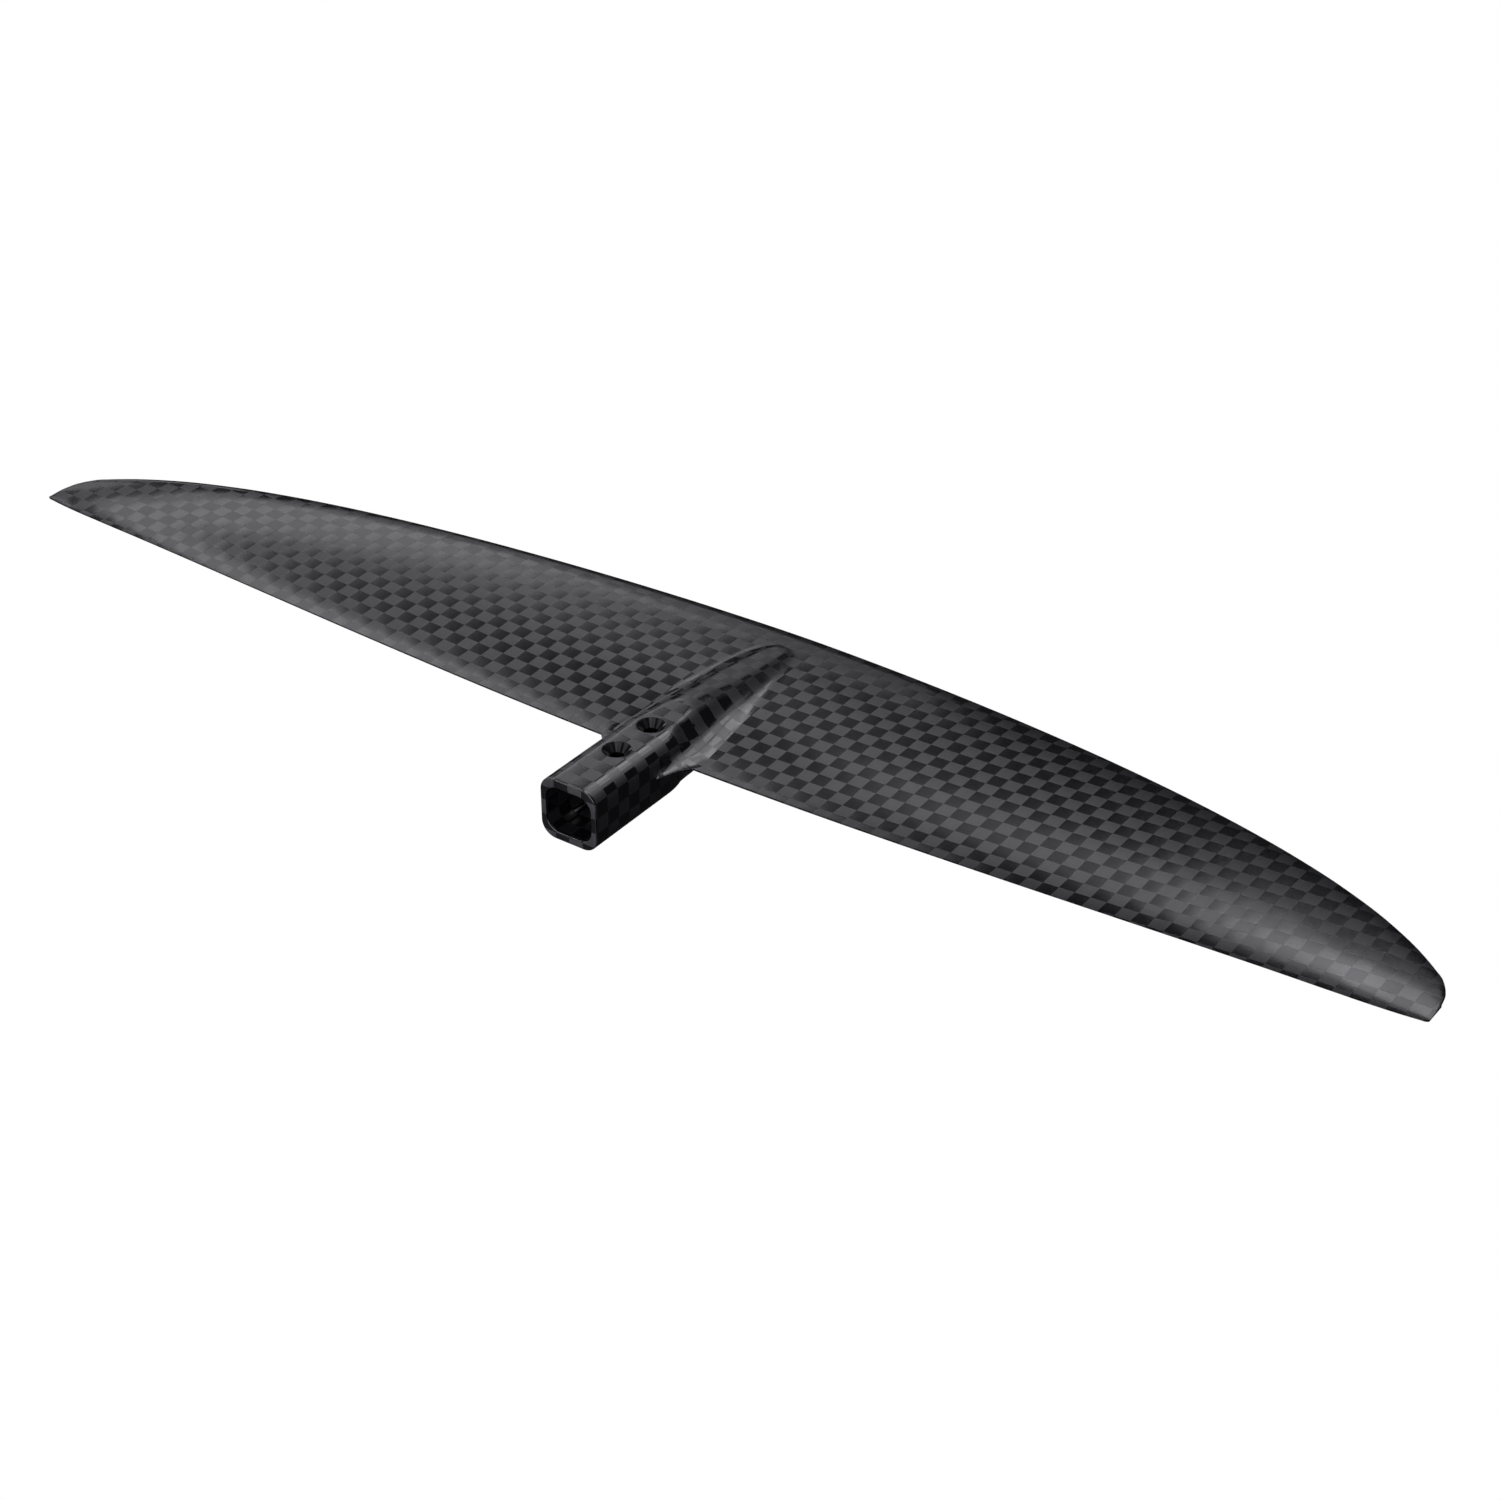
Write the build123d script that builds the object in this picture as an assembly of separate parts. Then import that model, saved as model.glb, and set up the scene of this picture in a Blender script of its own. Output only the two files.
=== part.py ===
from build123d import *
import os
import math

# ---------------------------------------------------------------------------
# Hydrofoil front wing with a square socket for the fuselage nose.
# Millimetres. +X runs along the span to starboard, +Y forward to the leading
# edge, +Z up, out of the face that carries the two screw seats.
# Origin: midpoint of the two screw axes, on the socket's flat top face.
# ---------------------------------------------------------------------------
os.makedirs("parts", exist_ok=True)

# --- driving dimensions: wing ----------------------------------------------
SPAN = 750.0                # tip to tip
TIP_X = SPAN / 2
X_TIP_JOINT = 340.0         # where the solid tip blocks start
THICK_ROOT = 0.104          # section thickness over chord at the root
THICK_TIP = 0.088           # the same at the tip
TE_GAP_ROOT = 0.9           # blunt trailing edge
TE_GAP_TIP = 0.6
SKIN_ROOT = 0.8             # laminate skin, thins toward the tips
SKIN_TIP = 0.4
CAP_ROOT = 1.2              # spar cap laminate, thins toward the tips
CAP_TIP = 0.5
WEB = 3.0                   # shear web thickness
GLUE = 0.04                 # bond line left between neighbouring pieces
S_NOSE = 0.045              # chord fractions of the joints between pieces
S_CAP0 = 0.22
S_CAP1 = 0.42
S_WEB = 0.32
S_TAIL = 0.86
# span station, leading edge y, trailing edge y, leading edge z, trailing edge z
PLAN = [
    (0.0,   134.73, 8.96, -13.61, -11.84),
    (46.7,  132.99, 8.86, -13.14, -11.39),
    (93.3,  128.55, 8.44, -11.78, -10.09),
    (140.0, 121.54, 7.86,  -9.66,  -8.04),
    (186.7, 111.99, 6.96,  -6.90,  -5.37),
    (233.3,  99.65, 5.81,  -3.66,  -2.26),
    (256.7,  92.20, 5.17,  -1.92,  -0.62),
    (280.0,  83.71, 4.51,  -0.14,   1.02),
    (308.0,  71.77, 3.71,   1.93,   2.87),
    (336.0,  57.03, 3.10,   3.73,   4.36),
    (354.7,  44.60, 3.30,   4.60,   4.99),
    (364.0,  37.10, 3.90,   4.89,   5.15),
    (368.0,  33.60, 4.30,   4.97,   5.18),
    (370.5,  30.20, 4.60,   5.02,   5.20),
    (372.5,  26.60, 4.80,   5.06,   5.22),
    (374.0,  22.60, 5.00,   5.10,   5.23),
    (375.0,  17.00, 5.60,   5.14,   5.24),
]
# shape coefficients of the section, upper and lower side
A_UP = [0.135, 0.0628, 0.0789, 0.1000, -0.0659]
A_LO = [0.200, 0.178, 0.195, 0.120, 0.145]

# --- driving dimensions: socket --------------------------------------------
SOCK_W = 30.6               # outside width
SOCK_H = 30.8               # outside height, top face at z = 0
SOCK_R = 7.5                # outside corner radius
BORE_W = 24.6               # socket hollow, width
BORE_TOP = -4.3             # socket hollow, roof
BORE_BOT = -26.7            # socket hollow, floor
BORE_R = 6.5
Y_MOUTH = -47.6             # rear end face
Y_BORE_END = 28.0           # blind end of the hollow
Y_BULKHEAD = 34.0
Y_JACKET = 21.0             # front end of the straight jacket
SLEEVE = 1.2                # inner sleeve laminate
# --- screws ------------------------------------------------------------------
SCREW_PITCH = 25.0
HOLE_D = 6.6                # clearance for M6
SINK_D = 13.2               # countersink diameter on the top face
SEAT_D = 16.0               # bonded seat pad
SEAT_DEPTH = 4.3


def hermite(xs, ys, x):
    """Smooth interpolation through the table (cubic, finite-difference slopes)."""
    n = len(xs)
    if x <= xs[0]:
        return ys[0]
    if x >= xs[-1]:
        return ys[-1]
    i = max(k for k in range(n - 1) if xs[k] <= x)

    def slope(k):
        if k == 0:
            return 0.0
        if k == n - 1:
            return (ys[k] - ys[k - 1]) / (xs[k] - xs[k - 1])
        h0, h1 = xs[k] - xs[k - 1], xs[k + 1] - xs[k]
        d0, d1 = (ys[k] - ys[k - 1]) / h0, (ys[k + 1] - ys[k]) / h1
        return (d0 * h1 + d1 * h0) / (h0 + h1)

    h = xs[i + 1] - xs[i]
    t = (x - xs[i]) / h
    m0, m1 = slope(i) * h, slope(i + 1) * h
    return ((2 * t**3 - 3 * t**2 + 1) * ys[i] + (t**3 - 2 * t**2 + t) * m0
            + (-2 * t**3 + 3 * t**2) * ys[i + 1] + (t**3 - t**2) * m1)


PX = [p[0] for p in PLAN]


def plan(x):
    a = abs(x)
    return [hermite(PX, [p[k] for p in PLAN], a) for k in range(1, 5)]


def cst(coef, s):
    n = len(coef) - 1
    return math.sqrt(s) * (1 - s) * sum(
        c * math.comb(n, i) * s**i * (1 - s)**(n - i) for i, c in enumerate(coef))


T0 = max(cst(A_UP, i / 200) + cst(A_LO, i / 200) for i in range(201))


def thick_scale(x):
    f = min(abs(x) / TIP_X, 1.0) ** 2
    want = THICK_ROOT + (THICK_TIP - THICK_ROOT) * f
    up = max(cst(A_UP, i / 100) for i in range(101))
    return (want - up) / (T0 - up)


def te_gap(x):
    return TE_GAP_ROOT + (TE_GAP_TIP - TE_GAP_ROOT) * abs(x) / TIP_X


def upper(x, s):
    yl, yt, zl, zt = plan(x)
    c = yl - yt
    return (x, yl - c * s, zt + (zl - zt) * (1 - s) + c * cst(A_UP, s))


def lower(x, s):
    yl, yt, zl, zt = plan(x)
    c = yl - yt
    return (x, yl - c * s,
            zt + (zl - zt) * (1 - s) - c * cst(A_LO, s) * thick_scale(x) - te_gap(x) * s**2)


def ply(x, root, end):
    """Laminate thickness at span station x."""
    return root + (end - root) * min(abs(x) / X_TIP_JOINT, 1.0) ** 1.5


def skin(x):
    return ply(x, SKIN_ROOT, SKIN_TIP)


def cap(x):
    return ply(x, CAP_ROOT, CAP_TIP)


def up_in(x, s, d):
    p = upper(x, s)
    return (p[0], p[1], p[2] - d)


def lo_in(x, s, d):
    p = lower(x, s)
    return (p[0], p[1], p[2] + d)


def gs(x):
    """Bond line as a chord fraction."""
    yl, yt, _, _ = plan(x)
    return GLUE / (yl - yt)


def srange(a, b, n=9):
    return [a + (b - a) * i / (n - 1) for i in range(n)]


def wire(*edges):
    """Closed wire from point lists: two points make a line, more a spline."""
    out = []
    for pts in edges:
        out.append(Line(pts[0], pts[-1]) if len(pts) == 2 else Spline(*pts))
    return Wire(out)


def loft_solid(wires, ruled=False):
    return Solid.make_loft(wires, ruled)


HALF = [0.0, 50.0, 100.0, 150.0, 200.0, 250.0, 290.0, 320.0, X_TIP_JOINT]
FULL = [-x for x in HALF[:0:-1]] + HALF
HALF_G = [GLUE / 2] + HALF[1:]
TIPS = [X_TIP_JOINT + GLUE, 347.0, 354.0, 360.0, 365.0, 368.5, 371.0, 373.0, 374.2, TIP_X]


def skin_section(x, top):
    surf = up_in if top else lo_in
    ss = srange(S_NOSE, S_TAIL, 15)
    a = [surf(x, s, 0.0) for s in ss]
    b = [surf(x, s, skin(x)) for s in ss][::-1]
    return wire(a, [a[-1], b[0]], b, [b[-1], a[0]])


def cap_section(x, top):
    surf = up_in if top else lo_in
    ss = srange(S_CAP0, S_CAP1, 7)
    a = [surf(x, s, skin(x) + GLUE) for s in ss]
    b = [surf(x, s, skin(x) + cap(x)) for s in ss][::-1]
    return wire(a, [a[-1], b[0]], b, [b[-1], a[0]])


def nose_section(x):
    end = S_NOSE - gs(x)
    ss = [end * (i / 7.0) ** 2 for i in range(8)]
    a = [upper(x, s) for s in ss[::-1]]
    b = [lower(x, s) for s in ss]
    return wire(a + b[1:], [b[-1], a[0]])


def tail_section(x):
    ss = srange(S_TAIL + gs(x), 1.0, 5)
    a = [upper(x, s) for s in ss]
    b = [lower(x, s) for s in ss][::-1]
    return wire(a, [a[-1], b[0]], b, [b[-1], a[0]])


def web_s(x, side):
    yl, yt, _, _ = plan(x)
    half = WEB / 2 / (yl - yt)
    return S_WEB + side * half


def web_section(x):
    s0, s1 = web_s(x, -1), web_s(x, 1)
    d = skin(x) + cap(x) + GLUE
    a = [up_in(x, s, d) for s in (s0, s1)]
    b = [lo_in(x, s, d) for s in (s1, s0)]
    return wire(a, [a[1], b[0]], b, [b[1], a[0]])


def fore_section(x):
    g = gs(x)
    w0 = web_s(x, -1) - g
    s1, s2 = srange(S_NOSE, S_CAP0 - g, 7), srange(S_CAP0 - g, w0, 4)
    d = skin(x) + cap(x) + GLUE
    a = [up_in(x, s, skin(x) + GLUE) for s in s1]
    b = [up_in(x, s, d) for s in s2]
    c = [lo_in(x, s, d) for s in s2[::-1]]
    e = [lo_in(x, s, skin(x) + GLUE) for s in s1[::-1]]
    return wire(a, [a[-1], b[0]], b, [b[-1], c[0]], c, [c[-1], e[0]], e, [e[-1], a[0]])


def aft_section(x):
    g = gs(x)
    w1 = web_s(x, 1) + g
    s1, s2 = srange(w1, S_CAP1 + g, 4), srange(S_CAP1 + g, S_TAIL, 9)
    d = skin(x) + cap(x) + GLUE
    a = [up_in(x, s, d) for s in s1]
    b = [up_in(x, s, skin(x) + GLUE) for s in s2]
    c = [lo_in(x, s, skin(x) + GLUE) for s in s2[::-1]]
    e = [lo_in(x, s, d) for s in s1[::-1]]
    return wire(a, [a[-1], b[0]], b, [b[-1], c[0]], c, [c[-1], e[0]], e, [e[-1], a[0]])


def full_section(x, grow=0.0):
    """The whole outer section: nose, both sides and the blunt trailing edge."""
    ss = [(i / 16.0) ** 2 for i in range(17)]
    a = [up_in(x, s, -grow) for s in ss[::-1]]
    b = [lo_in(x, s, -grow) for s in ss]
    if grow:
        a[-1] = b[0] = (x, a[-1][1] + grow, a[-1][2] - grow)
        a[0] = (a[0][0], a[0][1] - grow, a[0][2])
        b[-1] = (b[-1][0], b[-1][1] - grow, b[-1][2])
    return wire(a + b[1:], [b[-1], a[0]])


def tip_section(x):
    """Outer section as a closed polygon."""
    ss = [(i / 11.0) ** 2 for i in range(12)]
    a = [upper(x, s) for s in ss[::-1]]
    b = [lower(x, s) for s in ss]
    return Wire(Polyline(*(a + b[1:] + [a[0]])).edges())


def box_between(x0, x1, y0, y1, z0, z1):
    return Pos((x0 + x1) / 2, (y0 + y1) / 2, (z0 + z1) / 2) * Box(
        abs(x1 - x0), abs(y1 - y0), abs(z1 - z0))


def round_bar(w, z_top, z_bot, r, y0, y1):
    """Bar of rounded-square section running along Y."""
    sk = Plane.XZ * (Pos(0, (z_top + z_bot) / 2) * RectangleRounded(w, z_top - z_bot, r))
    bar = extrude(sk, amount=-(y1 - y0))        # Plane.XZ looks along -Y
    return Pos(0, y0, 0) * bar


# --- fairing: smooth hump along the centre line, above and below ---------------
FAIR_Y = [-9.0, -4.0, 1.0, 6.0, 11.0, 20.0, 32.0, 45.0, 58.0, 71.0, 84.0, 96.0, 107.0, 116.0]
FAIR_W = [16.0, 18.0, 20.2, 23.6, 26.8, 26.0, 24.6, 23.2, 21.6, 20.2, 18.7, 16.6, 13.4, 7.4]
HUMP_T = [0.0, 0.12, 0.22, 0.30, 0.37, 0.45, 0.54, 0.63, 0.72, 0.81, 0.90, 1.0]        # across, as a share of FAIR_W
HUMP_P = [1.0, 0.994, 0.975, 0.935, 0.86, 0.665, 0.425, 0.255, 0.155, 0.085, 0.034, 0.0]  # height, as a share of the crest's
# crest: passes the socket's flat top by 0.8 mm at the rear and is cut level with it
TOP_H = [(-20.0, 0.8), (24.0, 0.8), (34.0, 0.35), (42.0, -0.3), (50.0, -1.0), (58.0, -2.0), (71.0, -3.6),
         (84.0, -5.1), (96.0, -6.5), (107.0, -7.75), (116.0, -8.75)]
# the belly runs 1.6 mm past the socket's underside and is then cut flat level with it
BOT_H = [(-20.0, -32.4), (52.0, -32.4), (64.0, -31.8), (74.0, -30.6), (84.0, -29.0), (96.0, -26.7),
         (107.0, -24.2), (116.0, -22.1)]


def centre_z(y):
    """Upper and lower wing surface on the centre plane at height of y."""
    yl, yt, _, _ = plan(0)
    s = (yl - y) / (yl - yt)
    if s >= 1.0:
        z = upper(0, 1.0)[2]
        return z, z - te_gap(0)
    return upper(0, s)[2], lower(0, s)[2]




def fair_section(y, w, top):
    zu, zl = centre_z(y)
    mid = (zu + zl) / 2
    if top:
        peak = hermite([p[0] for p in TOP_H], [p[1] for p in TOP_H], y)
        base, sgn = zu, 1.0
        h = peak - zu
        foot = min(0.3, (zu - mid) * 0.5)
    else:
        peak = hermite([p[0] for p in BOT_H], [p[1] for p in BOT_H], y)
        base, sgn = zl, -1.0
        h = zl - peak
        foot = min(0.3, (mid - zl) * 0.5)
    ts = [0.0, 0.15, 0.30, 0.38, 0.46, 0.55, 0.64, 0.74, 0.87, 1.0]
    half = [(w * t, base + sgn * ((h + foot) * hermite(HUMP_T, HUMP_P, t) - foot)) for t in ts]
    pts = [(-x, y, z) for x, z in half[:0:-1]] + [(x, y, z) for x, z in half]
    p0, p1 = (pts[0][0], y, mid), (pts[-1][0], y, mid)
    return wire(pts, [pts[-1], p1], [p1, p0], [p0, pts[0]])


fair_top = loft_solid([fair_section(y, w, True) for y, w in zip(FAIR_Y, FAIR_W)])
fair_bot = loft_solid([fair_section(y, w, False) for y, w in zip(FAIR_Y, FAIR_W)])

# --- socket ----------------------------------------------------------------
jacket_out = round_bar(SOCK_W, 0.0, -SOCK_H, SOCK_R, Y_MOUTH, Y_JACKET)
sleeve_out = round_bar(BORE_W + 2 * SLEEVE, BORE_TOP + SLEEVE, BORE_BOT - SLEEVE,
                       BORE_R + SLEEVE, Y_MOUTH, Y_BORE_END)
bulk_out = round_bar(BORE_W + 2 * SLEEVE, BORE_TOP + SLEEVE, BORE_BOT - SLEEVE,
                     BORE_R + SLEEVE, Y_BORE_END, Y_BULKHEAD)
bore = round_bar(BORE_W, BORE_TOP, BORE_BOT, BORE_R, Y_MOUTH - 1.0, Y_BORE_END)

seat_holes = []
seats = []
for ys in (-SCREW_PITCH / 2, SCREW_PITCH / 2):
    pad = Pos(0, ys, -SEAT_DEPTH / 2) * Cylinder(SEAT_D / 2, SEAT_DEPTH)
    hole = Pos(0, ys, -SEAT_DEPTH / 2) * Cylinder(HOLE_D / 2, SEAT_DEPTH + 2)
    depth = (SINK_D - HOLE_D) / 2
    cone = Pos(0, ys, -depth / 2) * Cone(HOLE_D / 2, SINK_D / 2, depth)
    seats.append(pad - hole - cone)
    seat_holes.append(pad)

jacket = jacket_out - sleeve_out - seat_holes[0] - seat_holes[1]
sleeve = sleeve_out - bore - seat_holes[0] - seat_holes[1]
bulkhead = bulk_out


jacket_gap = round_bar(SOCK_W + 2 * GLUE, GLUE, -SOCK_H - GLUE, SOCK_R, Y_MOUTH, Y_JACKET + GLUE)
front_gap = round_bar(BORE_W + 2 * SLEEVE + 2 * GLUE, BORE_TOP + SLEEVE + GLUE,
                      BORE_BOT - SLEEVE - GLUE, BORE_R + SLEEVE, Y_MOUTH, Y_BULKHEAD + GLUE)


def keep_out(shape):
    return shape - jacket_gap - front_gap


def export(shape, name):
    export_step(shape, "parts/" + name + ".step")
    print(name, round(shape.volume / 1000.0, 3), "cm3")


def mirror_x(shape):
    return mirror(shape, about=Plane.YZ)


wing_outer_half = loft_solid([full_section(x, 0.06) for x in HALF[:3]])
wing_outer = wing_outer_half + mirror_x(wing_outer_half)

# flat on top level with the screw face, and flat below level with the socket's underside
slab = box_between(-60.0, 60.0, -60.0, 200.0, -SOCK_H, 0.0)
fairing_upper = keep_out((fair_top - wing_outer) & slab)
fairing_lower = keep_out((fair_bot - wing_outer) & slab)

skin_upper = keep_out(loft_solid([skin_section(x, True) for x in FULL]))
skin_lower = keep_out(loft_solid([skin_section(x, False) for x in FULL]))
cap_upper = loft_solid([cap_section(x, True) for x in FULL])
cap_lower = loft_solid([cap_section(x, False) for x in FULL])

nose = loft_solid([nose_section(x) for x in HALF_G])
tail = keep_out(loft_solid([tail_section(x) for x in HALF_G]))
web = loft_solid([web_section(x) for x in HALF_G])
fore = loft_solid([fore_section(x) for x in HALF_G])
aft = keep_out(loft_solid([aft_section(x) for x in HALF_G]))
tip = loft_solid([tip_section(x) for x in TIPS], ruled=True)

for shape, name in ((skin_upper, "skin_upper"), (skin_lower, "skin_lower"),
                    (cap_upper, "spar_cap_upper"), (cap_lower, "spar_cap_lower"),
                    (fairing_upper, "fairing_upper"), (fairing_lower, "fairing_lower"),
                    (jacket, "socket_jacket"), (sleeve, "socket_sleeve"),
                    (bulkhead, "socket_bulkhead"),
                    (seats[0], "screw_seat_rear"), (seats[1], "screw_seat_front")):
    export(shape, name)
for shape, name in ((nose, "leading_edge"), (tail, "trailing_edge"), (web, "shear_web"),
                    (fore, "core_fore"), (aft, "core_aft"), (tip, "tip_block")):
    export(shape, name + "_starboard")
    export(mirror_x(shape), name + "_port")
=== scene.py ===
import bpy
import bmesh
import math
import numpy as np
from mathutils import Vector, Matrix


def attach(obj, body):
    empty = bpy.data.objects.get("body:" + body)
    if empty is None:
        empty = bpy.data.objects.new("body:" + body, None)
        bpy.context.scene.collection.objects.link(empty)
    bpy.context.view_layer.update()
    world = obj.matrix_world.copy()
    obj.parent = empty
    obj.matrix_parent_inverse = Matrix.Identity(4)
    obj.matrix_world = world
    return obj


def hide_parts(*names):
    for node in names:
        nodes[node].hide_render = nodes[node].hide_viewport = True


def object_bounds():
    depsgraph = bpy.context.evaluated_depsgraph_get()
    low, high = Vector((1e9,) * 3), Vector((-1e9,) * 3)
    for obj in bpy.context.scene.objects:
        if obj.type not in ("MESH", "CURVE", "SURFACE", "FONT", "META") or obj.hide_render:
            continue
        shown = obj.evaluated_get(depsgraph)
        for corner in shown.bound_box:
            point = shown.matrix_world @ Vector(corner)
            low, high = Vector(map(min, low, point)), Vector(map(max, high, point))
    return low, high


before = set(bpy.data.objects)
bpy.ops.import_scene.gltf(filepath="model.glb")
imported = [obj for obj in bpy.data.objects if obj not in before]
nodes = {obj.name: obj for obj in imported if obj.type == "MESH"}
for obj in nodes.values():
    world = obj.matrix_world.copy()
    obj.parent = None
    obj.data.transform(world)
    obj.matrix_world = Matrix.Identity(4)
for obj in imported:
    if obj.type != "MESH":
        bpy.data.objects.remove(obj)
cad_lo, cad_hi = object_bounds()
MM = 0.001

# =============================================================================
# Camera
# =============================================================================
CAM_AZ, CAM_EL = math.radians(35.353), math.radians(32.114)
cam_back = Vector((math.sin(CAM_AZ) * math.cos(CAM_EL), -math.cos(CAM_AZ) * math.cos(CAM_EL), math.sin(CAM_EL)))
cam_right = Vector((math.cos(CAM_AZ), math.sin(CAM_AZ), 0.0))
cam_up = cam_back.cross(cam_right)
cam_data = bpy.data.cameras.new("view_camera")
cam_data.lens = 70.54
cam_data.sensor_width = 36.0
cam_data.clip_start = 0.05
cam_data.clip_end = 60.0
cam = bpy.data.objects.new("view_camera", cam_data)
rot = Matrix((cam_right, cam_up, cam_back)).transposed().to_4x4()
cam.matrix_world = Matrix.Translation(Vector((0.6801, -0.8701, 0.6857))) @ rot
bpy.context.scene.collection.objects.link(cam)
bpy.context.scene.camera = cam

# =============================================================================
# Shape of the moulding, millimetres
# =============================================================================
PLAN = np.array([
    (0.0, 134.73, 8.96, -13.61, -11.84), (46.7, 132.99, 8.86, -13.14, -11.39),
    (93.3, 128.55, 8.44, -11.78, -10.09), (140.0, 121.54, 7.86, -9.66, -8.04),
    (186.7, 111.99, 6.96, -6.90, -5.37), (233.3, 99.65, 5.81, -3.66, -2.26),
    (256.7, 92.20, 5.17, -1.92, -0.62), (280.0, 83.71, 4.51, -0.14, 1.02),
    (308.0, 71.77, 3.71, 1.93, 2.87), (336.0, 57.03, 3.10, 3.73, 4.36),
    (354.7, 44.60, 3.30, 4.60, 4.99), (364.0, 37.10, 3.90, 4.89, 5.15),
    (368.0, 33.60, 4.30, 4.97, 5.18), (370.5, 30.20, 4.60, 5.02, 5.20),
    (372.5, 26.60, 4.80, 5.06, 5.22), (374.0, 22.60, 5.00, 5.10, 5.23),
    (375.0, 17.00, 5.60, 5.14, 5.24)])
A_UP = (0.135, 0.0628, 0.0789, 0.1000, -0.0659)
A_LO = (0.200, 0.178, 0.195, 0.120, 0.145)
TIP_X = 375.0
TILE = 7.466                 # width of one tow
Y_GRID = 5.73                # a tow joint lies on this y
Z_GRID = -5.0                # and on this z, on the socket's sides


def hermite(xs, ys, x, start_flat=True):
    xs, ys = np.asarray(xs, float), np.asarray(ys, float)
    x = np.clip(np.asarray(x, float), xs[0], xs[-1])
    h = np.diff(xs)
    d = np.diff(ys) / h
    m = np.empty(len(xs))
    m[1:-1] = (d[:-1] * h[1:] + d[1:] * h[:-1]) / (h[1:] + h[:-1])
    m[0] = 0.0 if start_flat else d[0]
    m[-1] = d[-1]
    i = np.clip(np.searchsorted(xs, x, side="right") - 1, 0, len(xs) - 2)
    t = (x - xs[i]) / h[i]
    m0, m1 = m[i] * h[i], m[i + 1] * h[i]
    return ((2 * t**3 - 3 * t**2 + 1) * ys[i] + (t**3 - 2 * t**2 + t) * m0
            + (-2 * t**3 + 3 * t**2) * ys[i + 1] + (t**3 - t**2) * m1)


def plan(x):
    a = np.abs(x)
    return [hermite(PLAN[:, 0], PLAN[:, k], a) for k in range(1, 5)]


def cst(coef, s):
    n = len(coef) - 1
    return np.sqrt(s) * (1 - s) * sum(c * math.comb(n, i) * s**i * (1 - s)**(n - i)
                                      for i, c in enumerate(coef))


S201 = np.linspace(0, 1, 201)
T_ALL = float(np.max(cst(A_UP, S201) + cst(A_LO, S201)))
T_UP = float(np.max(cst(A_UP, S201)))


def thick_scale(x):
    want = 0.104 + (0.088 - 0.104) * np.minimum(np.abs(x) / TIP_X, 1.0) ** 2
    return (want - T_UP) / (T_ALL - T_UP)


def te_gap(x):
    return 0.9 - 0.3 * np.abs(x) / TIP_X


def wing_up(x, s):
    yl, yt, zl, zt = plan(x)
    c = yl - yt
    return yl - c * s, zt + (zl - zt) * (1 - s) + c * cst(A_UP, s)


def wing_lo(x, s):
    yl, yt, zl, zt = plan(x)
    c = yl - yt
    return yl - c * s, zt + (zl - zt) * (1 - s) - c * cst(A_LO, s) * thick_scale(x) - te_gap(x) * s**2


def chord_s(x, y):
    yl, yt, _, _ = plan(x)
    return np.clip((yl - y) / (yl - yt), 0.0, 1.0)


def z_up(x, y):
    return wing_up(x, chord_s(x, y))[1]


def z_lo(x, y):
    return wing_lo(x, chord_s(x, y))[1]


# =============================================================================
# Mesh helpers
# =============================================================================
def make_mesh(name, verts, faces, uvs=None):
    """verts in mm; uvs is a per-vertex array."""
    me = bpy.data.meshes.new(name)
    me.from_pydata([tuple(v) for v in (np.asarray(verts, float) * MM)], [], faces)
    me.validate()
    if uvs is not None:
        layer = me.uv_layers.new(name="cloth")
        idx = np.empty(len(me.loops), np.int32)
        me.loops.foreach_get("vertex_index", idx)
        layer.uv.foreach_set("vector", np.asarray(uvs, np.float32)[idx].ravel())
    me.update()
    ob = bpy.data.objects.new(name, me)
    bpy.context.scene.collection.objects.link(ob)
    return ob


def face_out(ob):
    bm = bmesh.new()
    bm.from_mesh(ob.data)
    bmesh.ops.recalc_face_normals(bm, faces=bm.faces)
    if bm.calc_volume(signed=True) < 0:
        bmesh.ops.reverse_faces(bm, faces=bm.faces)
    bm.to_mesh(ob.data)
    bm.free()


def smooth(ob, degrees=32.0):
    me = ob.data
    me.polygons.foreach_set("use_smooth", np.ones(len(me.polygons), bool))
    me.set_sharp_from_angle(angle=math.radians(degrees))
    me.update()


def loft(name, rings, ring_uvs=None, cap_start=True, cap_end=True):
    """Closed rings with the same number of points, joined in order."""
    rings = [np.asarray(r, float) for r in rings]
    n = len(rings[0])
    verts = np.concatenate(rings)
    faces = []
    for a in range(len(rings) - 1):
        o, p = a * n, (a + 1) * n
        for k in range(n):
            k2 = (k + 1) % n
            faces.append((o + k, o + k2, p + k2, p + k))
    if cap_start:
        faces.append(tuple(range(n - 1, -1, -1)))
    if cap_end:
        o = (len(rings) - 1) * n
        faces.append(tuple(range(o, o + n)))
    uv = np.concatenate(ring_uvs) if ring_uvs is not None else None
    ob = make_mesh(name, verts, faces, uv)
    return ob


def apply_boolean(ob, cutters):
    for c in cutters:
        mod = ob.modifiers.new("cut", "BOOLEAN")
        mod.operation = "DIFFERENCE"
        mod.solver = "EXACT"
        mod.object = c
        mod.material_mode = "TRANSFER"
    dg = bpy.context.evaluated_depsgraph_get()
    dg.update()
    new = bpy.data.meshes.new_from_object(ob.evaluated_get(dg))
    new.name = ob.name
    old = ob.data
    ob.modifiers.clear()
    ob.data = new
    bpy.data.meshes.remove(old)
    for c in cutters:
        bpy.data.objects.remove(c)


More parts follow.
